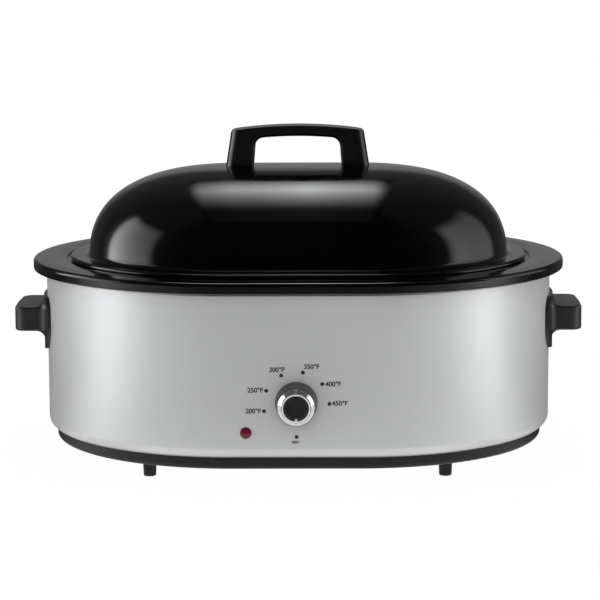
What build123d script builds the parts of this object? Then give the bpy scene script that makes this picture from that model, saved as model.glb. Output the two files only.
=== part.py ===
from build123d import *
import os
from math import sqrt

os.makedirs("parts", exist_ok=True)

# An electric roaster oven, in millimetres: +Z is up, the front faces -Y and the long way lies along X.
# Every pan, cover and band is an oval: a straight run of the centre line and a round end on each side.
# Such a piece is given by its cross-section, drawn as distance from the centre line and height.
STRAIGHT_HALF = 62.0

# Sheet and enamelled steel
SHEET = 0.8
ENAMEL_SHEET = 1.2

# Outer shell
SHELL_R = 188.0
SHELL_BOTTOM_Z = 30.4
SHELL_TOP_Z = 187.2
SHELL_TUCK_R = 10.0
SHELL_FLANGE_R = 164.0

# Heating well, the fixed liner
WELL_R = 158.0
WELL_FLOOR_Z = 32.0
WELL_SEAT_R = 167.0
WELL_SEAT_Z = 193.9
WELL_LIP_R = 189.0
WELL_LIP_Z = 184.6
WELL_OUTER_R = WELL_R + SHEET

# Cookwell, the pan that lifts out
PAN_FLOOR_R = 147.5
PAN_MOUTH_R = 150.0
PAN_FLOOR_Z = 36.2
PAN_LEDGE_Z = WELL_SEAT_Z + ENAMEL_SHEET
PAN_RECESS_R = 168.0
PAN_RIM_R = 201.0
PAN_RIM_Z = 198.2
PAN_RIM_LOW_Z = 188.8
PAN_RIM_CREST_R = 183.0
RIM_CROWN = 0.8

# Lid
DOME_R = 146.0
DOME_TOP_Z = 287.0
DOME_HEIGHT = 95.0
DOME_ROUNDNESS = 2.55
DOME_SHARES = (0, 0.2, 0.4, 0.6, 0.75, 0.86, 0.93, 0.97, 0.99)
LID_FLANGE_Z = 201.4
LID_BEAD_R = 3.0
LID_BEAD_CENTRE_R = 161.2
GRIP_BASE_HALF = 71.0
GRIP_TOP_HALF = 65.5
GRIP_SHOULDER_Z = 322.5
GRIP_TOP_Z = 327.2
GRIP_GAP_BASE_HALF = 43.5
GRIP_GAP_TOP_HALF = 41.3
GRIP_GAP_TOP_Z = 316.2
GRIP_DEPTH = 28.0
GRIP_EDGE = 3.5
GRIP_CORNER = 11.0
GRIP_SCREW_X = 57.0
LID_SCREW_TIP_Z = 301.0
LID_FOOT_R = 4.0
WASHER = 1.0

# Rack that stands in the cookwell
RACK_R = 122.0
RACK_Z = 49.0
RACK_WIRE_R = 2.5
RACK_THIN_R = 1.6
RACK_WELD = 0.5
RACK_LONG_Y = 45.0
RACK_BAR_PITCH = 22.0
RACK_BARS_EACH_WAY = 7
RACK_FOOT_X = 110.0
RACK_LOOP_Y = 34.0
RACK_LOOP_Z = 128.0
RACK_LOOP_BEND_R = 15.0

# Base
BASE_Z = 19.0
BASE_R = 180.0
BASE_WALL = 2.2
FOOT_X = 142.0
FOOT_Y = 120.0
FOOT_TOP_R = 6.8
FOOT_BOTTOM_R = 6.0
BASE_SCREW_R = 171.0
BASE_BOSS_R = 6.0
BASE_HEAD_R = 3.8
FOOT_SCREW_TIP_Z = 9.0
VENT_LENGTH = 18.0
VENT_WIDTH = 4.0
VENT_PITCH = 12.0
VENT_Y = 148.0
VENTS_EACH_WAY = 4

# Side handles
WING_REACH = 281.0
WING_HALF = 41.0
WING_LOW_Z = 127.3
WING_HIGH_Z = 151.2
WING_CORNER_R = 11.0
WING_BOW = 1.4
WING_CREST_R = 200.0
WING_EDGE_R = 2.0
PLATE_HALF = 54.0
PLATE_HEIGHT = 53.0
PLATE_Z = 135.0
PLATE_THICKNESS = 3.4
PLATE_TOP_CORNER_R = 14.0
PLATE_LOW_CORNER_R = 25.0
FLARE_R = 9.4
POCKET_HALF = 28.0
POCKET_DEPTH = 19.0
POCKET_INNER_X = 257.0
POCKET_OUTER_X = 276.0
HANDLE_SCREW_Y = 35.0
HANDLE_SCREW_Z = 139.0
HANDLE_SCREW_TIP_X = 262.0

# Heating
ELEMENT_TURNS_Z = (72.0, 86.0, 100.0, 114.0)
ELEMENT_R = 1.5
ELEMENT_LINE_R = WELL_OUTER_R + ELEMENT_R + 0.1
TERMINAL_INNER_X = 30.0
TERMINAL_OUTER_X = 36.0
TERMINAL_LOW_Z = 64.0
TERMINAL_HIGH_Z = 120.0
TERMINAL_MIDDLE_X = (TERMINAL_INNER_X + TERMINAL_OUTER_X) / 2
TERMINAL_Y = -WELL_OUTER_R - 4.0
CLIP_HALF = 5.0
CLIP_SHEET = 0.7
CLIP_PAST_TURNS = 8.0
WRAP_INNER_R = 163.0
WRAP_OUTER_R = 183.5
WRAP_LOW_Z = 36.0
WRAP_HIGH_Z = 180.0
WRAP_FRONT_WINDOW = (-75.0, 46.0)
WRAP_BACK_WINDOW = (-32.0, 32.0)
BOTTOM_PAD_R = 132.0

# Control
PANEL_Y = -SHELL_R
KNOB_Z = 84.6
SHAFT_R = 3.0
RUNNING_CLEARANCE = 0.05
KNOB_BACK = 1.5
KNOB_SKIRT_R = 19.9
KNOB_SHOULDER = 24.0
KNOB_SHOULDER_R = 17.6
KNOB_NECK = 28.6
KNOB_NECK_R = 13.5
KNOB_FRONT = 30.4
KNOB_RIM_R = 13.0
KNOB_RECESS_R = 12.1
KNOB_FACE = 24.4
KNOB_FACE_R = 9.8
KNOB_WALL = 1.6
POINTER_HALF = 1.7
SHAFT_REACH = 21.4
SHAFT_FLAT = 1.8
SHAFT_FLAT_BACK = 6.0
SHAFT_BACK_Y = -166.0
BUSHING_R = 4.5
BRACKET_SHEET = 1.2
CONTROL_HALF = 17.0
CONTROL_LOW_Z = 66.0
CONTROL_HIGH_Z = 99.0
CONTROL_BACK_Y = -161.5
CONTROL_FRONT_Y = -177.0
CONTACT_X = 10.0
CONTACT_Y = -170.6
CONTACT_SHEET = 0.8
CONTACT_HALF = 3.0
LAMP_X = -47.2
LAMP_Z = 55.9
LENS_R = 5.4
LENS_STEM_R = 4.4
LENS_STEM = 3.5
LENS_RIM = 1.0
LENS_DOME = 3.0
HOLDER_DEPTH = 19.0

# Wiring
LEAD_R = 1.1
LEAD_Z = 52.0
LEAD_LINE_R = 185.3
LAMP_LEAD_R = 0.9
NEUTRAL_Z = 55.5
BLOCK_HALF = 16.0
BLOCK_DEPTH = 13.0
BLOCK_LOW_Z = 44.0
BLOCK_HIGH_Z = 68.0
BLOCK_SCREW_X = 8.0
BLOCK_SCREW_Z = 61.0
GLAND_Z = 56.0
GLAND_REACH = 23.4
CORD_R = 3.75
GLAND_NECK_R = 6.8
GLAND_DEPTH = 6.0

SIDES = {"left": -1, "right": 1}
FEET = {
    "foot_front_left": (-1, -1),
    "foot_front_right": (1, -1),
    "foot_rear_left": (-1, 1),
    "foot_rear_right": (1, 1),
}


# Helpers


def sheet(points, bends, thickness=SHEET):
    """Cross-section of pressed sheet. The points follow its inner or upper surface."""
    line = FilletPolyline(*points, radius=bends)
    return make_face(offset(line, amount=thickness, side=Side.RIGHT, closed=True))


def around_oval(section):
    """Carries a cross-section all the way round the oval."""
    section = Plane.XZ * section
    end = Pos(STRAIGHT_HALF, 0, 0) * Rot(Z=-90) * revolve(section, Axis.Z, 180)
    flat = Pos(-STRAIGHT_HALF, 0, 0) * Rot(Z=-90) * section
    half = end + extrude(flat, amount=2 * STRAIGHT_HALF, dir=(1, 0, 0))
    return half + Rot(Z=180) * half


def oval_slab(radius, low, high):
    """Flat oval from one height to another."""
    return Pos(0, 0, low) * extrude(SlotCenterToCenter(2 * STRAIGHT_HALF, 2 * radius), high - low)


def oval_band(inner, outer, low, high):
    """Upright oval wall between two distances from the centre line."""
    return oval_slab(outer, low, high) - oval_slab(inner, low, high)


def block(low, high):
    """Box between two corners."""
    low, high = Vector(*low), Vector(*high)
    size = high - low
    return Pos((low + high) / 2) * Box(size.X, size.Y, size.Z)


def rod(start, end, radius, tip_radius=None):
    """Round bar from one point to another, tapered if its tip has its own radius."""
    start, end = Vector(*start), Vector(*end)
    length = (end - start).length
    tapered = Cone(radius, tip_radius, length) if tip_radius else Cylinder(radius, length)
    return Plane(origin=(start + end) / 2, z_dir=end - start) * tapered


def from_panel(x, z, section):
    """Turned part on the front panel. Its section is drawn as radius and distance out of the panel."""
    turned = revolve(Plane.XZ * section, Axis.Z, 360)
    return Pos(x, PANEL_Y, z) * Rot(X=90) * turned


def four_ways(x, y):
    """The same place in the four quarters of the plan."""
    return [(x * i, y * j) for i in (-1, 1) for j in (-1, 1)]


def shell_reach(y, radius=SHELL_R):
    """How far along X the round end reaches at some distance from the middle."""
    return STRAIGHT_HALF + sqrt(radius**2 - y**2)


# Outer body


def outer_shell():
    inside_r, floor_z = SHELL_R - SHEET, SHELL_BOTTOM_Z + SHEET
    points = [(SHELL_FLANGE_R, floor_z), (inside_r, floor_z), (inside_r, SHELL_TOP_Z)]
    shell = around_oval(sheet(points, [SHELL_TUCK_R - SHEET]))
    shell -= rod((0, PANEL_Y - 2, KNOB_Z), (0, PANEL_Y + 4, KNOB_Z), 4.8)
    shell -= rod((LAMP_X, PANEL_Y - 2, LAMP_Z), (LAMP_X, PANEL_Y + 4, LAMP_Z), LENS_STEM_R + 0.1)
    shell -= rod((0, SHELL_R - 4, GLAND_Z), (0, SHELL_R + 2, GLAND_Z), GLAND_NECK_R + 0.1)
    for side in SIDES.values():
        for y in (-HANDLE_SCREW_Y, HANDLE_SCREW_Y):
            near, far = side * shell_reach(y, SHELL_R - 4), side * shell_reach(y, SHELL_R + 2)
            shell -= rod((near, y, HANDLE_SCREW_Z), (far, y, HANDLE_SCREW_Z), 2.15)
    for x, y in base_screw_places():
        shell -= rod((x, y, SHELL_BOTTOM_Z - 1), (x, y, SHELL_BOTTOM_Z + 2), 2.15)
    return shell


def heating_well():
    step_z = SHELL_TOP_Z + SHEET
    points = [
        (0, WELL_FLOOR_Z),
        (WELL_R, WELL_FLOOR_Z),
        (WELL_R, WELL_SEAT_Z),
        (WELL_SEAT_R, WELL_SEAT_Z),
        (WELL_SEAT_R, step_z),
        (WELL_LIP_R, step_z),
        (WELL_LIP_R, WELL_LIP_Z),
    ]
    return around_oval(sheet(points, [12.0, 1.6, 1.6, 1.4, 1.0]))


def base_screw_places():
    """Two screws on each long side and one at each end."""
    ends = [(side * (STRAIGHT_HALF + BASE_SCREW_R), 0) for side in SIDES.values()]
    return four_ways(STRAIGHT_HALF, BASE_SCREW_R) + ends


def base_pan():
    inside_r, floor_z = BASE_R - BASE_WALL, BASE_Z + BASE_WALL
    points = [(0, floor_z), (inside_r, floor_z), (inside_r, SHELL_BOTTOM_Z)]
    pan = around_oval(sheet(points, [2.0], BASE_WALL))
    for x, y in base_screw_places():
        pan += rod((x, y, BASE_Z + 1), (x, y, SHELL_BOTTOM_Z), BASE_BOSS_R)
        pan -= rod((x, y, BASE_Z - 1), (x, y, SHELL_BOTTOM_Z + 1), 2.1)
        pan -= rod((x, y, BASE_Z - 1), (x, y, floor_z), BASE_HEAD_R + 0.4)
    for x, y in four_ways(FOOT_X, FOOT_Y):
        pan -= rod((x, y, BASE_Z - 1), (x, y, floor_z + 1), 1.8)
    vent = Pos(0, 0, BASE_Z - 1) * extrude(SlotOverall(VENT_LENGTH, VENT_WIDTH), BASE_WALL + 2)
    for number in range(-VENTS_EACH_WAY, VENTS_EACH_WAY + 1):
        for y in (-VENT_Y, VENT_Y):
            pan -= Pos(number * VENT_PITCH, y, 0) * Rot(Z=90) * vent
    return pan


def foot(sx, sy):
    x, y = sx * FOOT_X, sy * FOOT_Y
    body = rod((x, y, 0), (x, y, BASE_Z), FOOT_BOTTOM_R, FOOT_TOP_R)
    body = fillet(body.edges().group_by(Axis.Z)[0], 1.0)
    return body - rod((x, y, FOOT_SCREW_TIP_Z - 1), (x, y, BASE_Z + 1), 1.8)


def foot_screws():
    top = BASE_Z + BASE_WALL
    return [
        rod((x, y, FOOT_SCREW_TIP_Z), (x, y, top), 1.75) + rod((x, y, top), (x, y, top + 1.8), 3.5)
        for x, y in four_ways(FOOT_X, FOOT_Y)
    ]


def base_screws():
    """Screws whose heads are sunk flush in the underside of the base."""
    seat_z, tip_z = BASE_Z + BASE_WALL, SHELL_BOTTOM_Z + SHEET + 3.6
    return [
        rod((x, y, seat_z), (x, y, tip_z), 2.0) + rod((x, y, seat_z - 2), (x, y, seat_z), BASE_HEAD_R)
        for x, y in base_screw_places()
    ]


def base_nuts():
    hexagon = RegularPolygon(3.5, 6, major_radius=False) - Circle(2.02)
    nut = Pos(0, 0, SHELL_BOTTOM_Z + SHEET) * extrude(hexagon, 3.0)
    return [Pos(x, y, 0) * nut for x, y in base_screw_places()]


def handle_plan():
    """Outline of the wing seen from above: a slightly bowed outer edge with round corners."""
    edge_x = WING_REACH - WING_BOW
    outline = FilletPolyline(
        (WRAP_OUTER_R, -WING_HALF),
        (edge_x, -WING_HALF),
        (WING_REACH, 0),
        (edge_x, WING_HALF),
        (WRAP_OUTER_R, WING_HALF),
        radius=[WING_CORNER_R, WING_CREST_R, WING_CORNER_R],
    )
    return make_face(outline + Line(outline @ 1, outline @ 0))


def handle_plate():
    """Base plate of the handle, curved to lie on the shell's round end."""
    shape = Rectangle(2 * PLATE_HALF, PLATE_HEIGHT)
    shape = fillet(shape.vertices().group_by(Axis.Y)[-1], PLATE_TOP_CORNER_R)
    shape = fillet(shape.vertices().group_by(Axis.Y)[0], PLATE_LOW_CORNER_R)
    plate = extrude(Plane.YZ * Pos(0, PLATE_Z) * shape, WING_REACH)
    plate &= Pos(STRAIGHT_HALF, 0, PLATE_Z) * Cylinder(SHELL_R + PLATE_THICKNESS, 80)
    return plate - block((0, -80, 80), (WRAP_OUTER_R, 80, 190))


def lies_on_plate(edge):
    """True for an edge of the joint between wing and plate."""
    points = [edge @ share for share in (0.1, 0.5, 0.9)]
    radii = [sqrt((point.X - STRAIGHT_HALF) ** 2 + point.Y**2) for point in points]
    on_plate = all(abs(radius - SHELL_R - PLATE_THICKNESS) < 0.02 for radius in radii)
    middle = points[1]
    return on_plate and abs(middle.Y) <= WING_HALF + 1 and WING_LOW_Z - 1 < middle.Z < WING_HIGH_Z + 1


def side_handle(side):
    """Moulded wing that flares into its base plate and is hollow from below for the fingers."""
    wing = Pos(0, 0, WING_LOW_Z) * extrude(handle_plan(), WING_HIGH_Z - WING_LOW_Z)
    rims = [e for e in wing.edges() if e.center().X > WRAP_OUTER_R + 1 and abs(e.tangent_at(0.5).Z) < 0.5]
    body = handle_plate() + fillet(rims, WING_EDGE_R)
    body = fillet(body.edges().filter_by(lies_on_plate), FLARE_R)
    body -= Pos(STRAIGHT_HALF, 0, PLATE_Z) * Cylinder(SHELL_R, 100)
    pocket_low, pocket_high = WING_LOW_Z - 5, WING_LOW_Z + POCKET_DEPTH
    pocket = block((POCKET_INNER_X, -POCKET_HALF, pocket_low), (POCKET_OUTER_X, POCKET_HALF, pocket_high))
    body -= fillet(pocket.edges().filter_by(Axis.Z) + pocket.faces().sort_by(Axis.Z)[-1].edges(), 4.0)
    for y in (-HANDLE_SCREW_Y, HANDLE_SCREW_Y):
        body -= rod((240, y, HANDLE_SCREW_Z), (HANDLE_SCREW_TIP_X, y, HANDLE_SCREW_Z), 2.02)
    return body if side > 0 else Rot(Z=180) * body


def handle_screws():
    """Screws from inside the shell. Each head touches the wall with its far side."""
    screws = []
    for side in SIDES.values():
        for y in (-HANDLE_SCREW_Y, HANDLE_SCREW_Y):
            under_head = shell_reach(HANDLE_SCREW_Y + 3.4, SHELL_R - SHEET) - 0.05
            marks = [under_head - 1.6, under_head, HANDLE_SCREW_TIP_X - 0.5]
            head_x, neck_x, tip_x = (side * mark for mark in marks)
            z = HANDLE_SCREW_Z
            screws.append(rod((head_x, y, z), (neck_x, y, z), 3.4) + rod((neck_x, y, z), (tip_x, y, z), 2.0))
    return screws


# Pan, rack and lid


def cookwell():
    """Deep pan whose wide rim has a recess for the lid and rests on the heating well's seat."""
    rim_edge_z = PAN_RIM_Z - RIM_CROWN
    points = [
        (0, PAN_FLOOR_Z),
        (PAN_FLOOR_R, PAN_FLOOR_Z),
        (PAN_MOUTH_R, PAN_LEDGE_Z),
        (PAN_RECESS_R, PAN_LEDGE_Z),
        (PAN_RECESS_R + 0.8, rim_edge_z),
        (PAN_RIM_CREST_R, PAN_RIM_Z),
        (PAN_RIM_R, rim_edge_z),
        (PAN_RIM_R, PAN_RIM_LOW_Z),
        (PAN_RIM_R - 4.5, PAN_RIM_LOW_Z),
    ]
    return around_oval(sheet(points, [22.0, 3.0, 1.3, 1.3, 90.0, 4.2, 1.5], -ENAMEL_SHEET))


def dome_height(distance, inset=0.0):
    """Height of the lid's skin at a distance from the centre line."""
    share = min(distance / (DOME_R - inset), 1.0)
    rise = (1 - share**DOME_ROUNDNESS) ** (1 / DOME_ROUNDNESS)
    return DOME_TOP_Z - DOME_HEIGHT + (DOME_HEIGHT - inset) * rise


def dome_skin(inset=0.0):
    """Curve of the lid's skin, from its top down to the wall above the flange."""
    radius = DOME_R - inset
    points = [(radius * share, dome_height(radius * share, inset)) for share in DOME_SHARES]
    return Spline(*points, tangents=[(1, 0), (0.04, -1)])


def lid_dome():
    """Pressed dome with a flat flange and a bead round its edge."""
    outer, inner = dome_skin(), dome_skin(ENAMEL_SHEET)
    foot_low = LID_FLANGE_Z - ENAMEL_SHEET
    out_line = FilletPolyline(
        outer @ 1, (DOME_R, LID_FLANGE_Z), (LID_BEAD_CENTRE_R, LID_FLANGE_Z), radius=[LID_FOOT_R]
    )
    in_line = FilletPolyline(
        inner @ 1,
        (DOME_R - ENAMEL_SHEET, foot_low),
        (LID_BEAD_CENTRE_R, foot_low),
        radius=[LID_FOOT_R + ENAMEL_SHEET],
    )
    ends = Line(inner @ 0, outer @ 0) + Line(out_line @ 1, in_line @ 1)
    skin = make_face(outer + inner + out_line + in_line + ends)
    bead = Pos(LID_BEAD_CENTRE_R, LID_FLANGE_Z - LID_BEAD_R) * Circle(LID_BEAD_R)
    lid = around_oval(skin) + around_oval(bead)
    for x in (-GRIP_SCREW_X, GRIP_SCREW_X):
        lid -= rod((x, 0, DOME_TOP_Z - 5), (x, 0, DOME_TOP_Z + 5), 2.15)
    return lid


def grip_gap_edges(grip):
    """Front and back edges of the opening under the bail."""
    edges = []
    for edge in grip.edges():
        middle = edge.center()
        beside_gap = abs(middle.X) < GRIP_GAP_BASE_HALF and DOME_TOP_Z + 1 < middle.Z < GRIP_GAP_TOP_Z + 1.2
        if beside_gap and abs(abs(middle.Y) - GRIP_DEPTH / 2) < 0.01:
            edges.append(edge)
    return edges


def lid_handle():
    """Arched bail with two broad legs, well rounded at their outer corners."""
    top = ThreePointArc((-GRIP_TOP_HALF, GRIP_SHOULDER_Z), (0, GRIP_TOP_Z), (GRIP_TOP_HALF, GRIP_SHOULDER_Z))
    side = Polyline(top @ 1, (GRIP_BASE_HALF, DOME_TOP_Z), (-GRIP_BASE_HALF, DOME_TOP_Z), top @ 0)
    outline = make_face(top + side)
    outline = fillet(outline.vertices().group_by(Axis.Y)[-1], 4.0)
    arch_start = (-GRIP_GAP_TOP_HALF, GRIP_GAP_TOP_Z - 1.6)
    arch = ThreePointArc(arch_start, (0, GRIP_GAP_TOP_Z + 0.6), (GRIP_GAP_TOP_HALF, GRIP_GAP_TOP_Z - 1.6))
    foot_z = DOME_TOP_Z - 1
    legs = Polyline(arch @ 1, (GRIP_GAP_BASE_HALF, foot_z), (-GRIP_GAP_BASE_HALF, foot_z), arch @ 0)
    gap = make_face(arch + legs)
    gap = fillet(gap.vertices().group_by(Axis.Y)[-1], 9.0)
    grip = extrude(Plane.XZ * (outline - gap), GRIP_DEPTH / 2, both=True)
    lean = (GRIP_BASE_HALF - GRIP_TOP_HALF) / (GRIP_SHOULDER_Z - DOME_TOP_Z)
    rise = GRIP_TOP_Z + 2 - DOME_TOP_Z
    plans = [
        Pos(0, 0, DOME_TOP_Z + up) * RectangleRounded(2 * (GRIP_BASE_HALF - lean * up), GRIP_DEPTH, GRIP_CORNER)
        for up in (0, rise)
    ]
    grip = grip & loft(plans, ruled=True)
    grip = fillet(grip_gap_edges(grip), GRIP_EDGE)
    for x in (-GRIP_SCREW_X, GRIP_SCREW_X):
        grip -= rod((x, 0, DOME_TOP_Z - 2), (x, 0, LID_SCREW_TIP_Z + 0.5), 2.02)
    return grip


def lid_washers():
    low = DOME_TOP_Z - ENAMEL_SHEET - WASHER - 0.05
    ring = extrude(Circle(6.0) - Circle(2.15), WASHER)
    return [Pos(x, 0, low) * ring for x in (-GRIP_SCREW_X, GRIP_SCREW_X)]


def lid_screws():
    under_head = DOME_TOP_Z - ENAMEL_SHEET - WASHER - 0.05
    shank = rod((0, 0, under_head), (0, 0, LID_SCREW_TIP_Z), 2.0)
    screw = shank + rod((0, 0, under_head - 2.2), (0, 0, under_head), 3.8)
    return [Pos(x, 0, 0) * screw for x in (-GRIP_SCREW_X, GRIP_SCREW_X)]


def rack_reach(x):
    """Half the rack's width at a place along its length."""
    return sqrt(RACK_R**2 - max(abs(x) - STRAIGHT_HALF, 0) ** 2)


def rack_grid():
    """Oval wire frame on four stub feet, with two wires along it and a row of cross wires on top."""
    grid = around_oval(Pos(RACK_R, RACK_Z) * Circle(RACK_WIRE_R))
    for y in (-RACK_LONG_Y, RACK_LONG_Y):
        end_x = shell_reach(y, RACK_R)
        grid += rod((-end_x, y, RACK_Z), (end_x, y, RACK_Z), RACK_WIRE_R)
    top_z = RACK_Z + RACK_WIRE_R + RACK_THIN_R - RACK_WELD
    for number in range(-RACK_BARS_EACH_WAY, RACK_BARS_EACH_WAY + 1):
        x = number * RACK_BAR_PITCH
        grid += rod((x, -rack_reach(x), top_z), (x, rack_reach(x), top_z), RACK_THIN_R)
    for x, y in four_ways(RACK_FOOT_X, rack_reach(RACK_FOOT_X)):
        grid += rod((x, y, PAN_FLOOR_Z + 0.1), (x, y, RACK_Z), RACK_WIRE_R - 0.1)
    return grid


def rack_handles():
    """A lifting loop of wire at each end, welded inside the frame."""
    foot_x = shell_reach(RACK_LOOP_Y, RACK_R) - 2 * RACK_WIRE_R + RACK_WELD
    line = FilletPolyline(
        (foot_x, -RACK_LOOP_Y, RACK_Z - RACK_WIRE_R),
        (foot_x, -RACK_LOOP_Y, RACK_LOOP_Z),
        (foot_x, RACK_LOOP_Y, RACK_LOOP_Z),
        (foot_x, RACK_LOOP_Y, RACK_Z - RACK_WIRE_R),
        radius=[RACK_LOOP_BEND_R, RACK_LOOP_BEND_R],
    )
    loop = sweep(Plane(origin=line @ 0, z_dir=line % 0) * Circle(RACK_WIRE_R), path=line)
    return [loop, Rot(Z=180) * loop]


# Heating


def heating_element():
    """Turns of sleeved resistance wire round the liner, open at the front between the terminals."""
    turns = []
    for z in ELEMENT_TURNS_Z:
        ring = around_oval(Pos(ELEMENT_LINE_R, z) * Circle(ELEMENT_R))
        turns.append(ring - block((-TERMINAL_OUTER_X, -SHELL_R, z - 5), (TERMINAL_OUTER_X, 0, z + 5)))
    return turns


def element_clips():
    """Bent strips that press the turns against the liner, on both long sides and round both ends."""
    inner = ELEMENT_LINE_R + ELEMENT_R + 0.1
    outer = inner + CLIP_SHEET
    low, high = ELEMENT_TURNS_Z[0] - CLIP_PAST_TURNS, ELEMENT_TURNS_Z[-1] + CLIP_PAST_TURNS
    strip = block((inner, -CLIP_HALF, low), (outer, CLIP_HALF, high))
    for z in (low, high - CLIP_SHEET):
        strip += block((WELL_OUTER_R + 0.05, -CLIP_HALF, z), (outer, CLIP_HALF, z + CLIP_SHEET))
    clips = []
    for half_turn in (0, 180):
        for turn in (-90, -45, 0, 45, 90):
            reach = STRAIGHT_HALF if abs(turn) < 90 else STRAIGHT_HALF - 8
            clips.append(Rot(Z=half_turn) * Pos(reach, 0, 0) * Rot(Z=turn) * strip)
    return clips


def element_terminals():
    """Ceramic blocks that hold the ends of the turns."""
    near, far = -WELL_OUTER_R - 0.05, -WELL_OUTER_R - 8
    return [
        block(
            (min(side * TERMINAL_INNER_X, side * TERMINAL_OUTER_X), far, TERMINAL_LOW_Z),
            (max(side * TERMINAL_INNER_X, side * TERMINAL_OUTER_X), near, TERMINAL_HIGH_Z),
        )
        for side in SIDES.values()
    ]


def insulation_wrap():
    """Glass-fibre blanket round the liner, left open at the control and at the cord inlet."""
    wrap = oval_band(WRAP_INNER_R, WRAP_OUTER_R, WRAP_LOW_Z, WRAP_HIGH_Z)
    front_left, front_right = WRAP_FRONT_WINDOW
    back_left, back_right = WRAP_BACK_WINDOW
    wrap -= block((front_left, -SHELL_R, WRAP_LOW_Z - 1), (front_right, 0, WRAP_HIGH_Z + 1))
    return wrap - block((back_left, 0, WRAP_LOW_Z - 1), (back_right, SHELL_R, WRAP_HIGH_Z + 1))


def bottom_insulation():
    return oval_slab(BOTTOM_PAD_R, BASE_Z + BASE_WALL, WELL_FLOOR_Z - SHEET)


# Control


def thermostat_bracket():
    """Channel that holds the control against the liner."""
    back = -WELL_OUTER_R - BRACKET_SHEET
    side_x = CONTROL_HALF + BRACKET_SHEET
    bracket = block((-side_x, back, CONTROL_LOW_Z - 4), (side_x, -WELL_OUTER_R, CONTROL_HIGH_Z + 4))
    for x in (-side_x, CONTROL_HALF):
        bracket += block((x, CONTROL_FRONT_Y, CONTROL_LOW_Z), (x + BRACKET_SHEET, back, CONTROL_HIGH_Z))
    return bracket


def bimetal_strip():
    """Strip that bends as the liner warms."""
    back = -WELL_OUTER_R - BRACKET_SHEET
    return block((-6, back - 0.9, CONTROL_LOW_Z + 2), (6, back, CONTROL_HIGH_Z - 2))


def thermostat_body():
    """Insulating block. The spindle turns in its bore."""
    low_corner = (-CONTROL_HALF, CONTROL_FRONT_Y, CONTROL_LOW_Z)
    body = block(low_corner, (CONTROL_HALF, CONTROL_BACK_Y, CONTROL_HIGH_Z))
    body = fillet(body.edges().filter_by(Axis.Y), 2.0)
    return body - rod((0, CONTROL_FRONT_Y - 1, KNOB_Z), (0, SHAFT_BACK_Y + 1, KNOB_Z), SHAFT_R + 0.6)


def thermostat_plate():
    """Front plate of the control, round its bushing."""
    front = CONTROL_FRONT_Y - BRACKET_SHEET
    plate = block((-19, front, CONTROL_LOW_Z - 2), (19, CONTROL_FRONT_Y, CONTROL_HIGH_Z + 2))
    return plate - rod((0, front - 1, KNOB_Z), (0, CONTROL_FRONT_Y + 1, KNOB_Z), BUSHING_R)


def thermostat_bushing():
    """Bushing through the front panel, with a collar behind it."""
    back, front = CONTROL_FRONT_Y, PANEL_Y - BUSHING_R
    collar_back, collar_front = CONTROL_FRONT_Y - BRACKET_SHEET, PANEL_Y + SHEET
    bushing = rod((0, back, KNOB_Z), (0, front, KNOB_Z), BUSHING_R)
    bushing += rod((0, collar_back, KNOB_Z), (0, collar_front, KNOB_Z), 7.0)
    return bushing - rod((0, back + 1, KNOB_Z), (0, front - 1, KNOB_Z), SHAFT_R + RUNNING_CLEARANCE)


def thermostat_nut():
    hexagon = RegularPolygon(7.0, 6, major_radius=False) - Circle(BUSHING_R + 0.02)
    return Pos(0, PANEL_Y, KNOB_Z) * Rot(X=90) * extrude(hexagon, 2.6)


def thermostat_shaft():
    """Spindle with a flat that drives the knob."""
    front = PANEL_Y - SHAFT_REACH
    shaft = rod((0, SHAFT_BACK_Y, KNOB_Z), (0, front, KNOB_Z), SHAFT_R)
    return shaft - block((-5, front - 1, KNOB_Z + SHAFT_FLAT), (5, PANEL_Y - SHAFT_FLAT_BACK, KNOB_Z + 5))


def thermostat_contacts():
    """Blades under the control that the wires end on."""
    near, far = CONTACT_Y - CONTACT_SHEET / 2, CONTACT_Y + CONTACT_SHEET / 2
    return [
        block((x - CONTACT_HALF, near, LEAD_Z - 3), (x + CONTACT_HALF, far, CONTROL_LOW_Z))
        for x in (-CONTACT_X, CONTACT_X)
    ]


def knob_rims(part, out, least_r=0.0):
    """Round edges of a turned knob part at some distance out of the panel."""
    rims = []
    for edge in part.edges():
        point = edge @ 0
        radius = sqrt(point.X**2 + (point.Z - KNOB_Z) ** 2)
        if abs(PANEL_Y - out - point.Y) < 0.01 and radius > least_r:
            rims.append(edge)
    return rims


def knob_skirt():
    """Black moulded ring behind the bezel, wider towards the panel."""
    section = Polyline(
        (KNOB_SKIRT_R, KNOB_BACK),
        (KNOB_SHOULDER_R, KNOB_SHOULDER),
        (KNOB_SHOULDER_R - KNOB_WALL, KNOB_SHOULDER),
        (KNOB_SKIRT_R - KNOB_WALL, KNOB_BACK),
        close=True,
    )
    skirt = from_panel(0, KNOB_Z, make_face(section))
    return fillet(knob_rims(skirt, KNOB_SHOULDER, KNOB_SHOULDER_R - 0.1), 0.3)


def knob_bezel():
    """Chromed turned front: sloping shoulder, thin rim and a dished recess."""
    section = Polyline(
        (KNOB_SHOULDER_R, KNOB_SHOULDER),
        (KNOB_NECK_R, KNOB_NECK),
        (KNOB_RIM_R, KNOB_NECK),
        (KNOB_RIM_R, KNOB_FRONT),
        (KNOB_RECESS_R, KNOB_FRONT),
        (KNOB_FACE_R, KNOB_FACE),
        (KNOB_FACE_R, KNOB_FACE - KNOB_WALL),
        (KNOB_NECK_R - KNOB_WALL, KNOB_NECK - 2 * KNOB_WALL),
        (KNOB_SHOULDER_R - KNOB_WALL, KNOB_SHOULDER),
        close=True,
    )
    bezel = from_panel(0, KNOB_Z, make_face(section))
    bezel = fillet(knob_rims(bezel, KNOB_SHOULDER, KNOB_SHOULDER_R - 0.1), 0.3)
    return fillet(knob_rims(bezel, KNOB_FRONT), 0.35)


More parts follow.
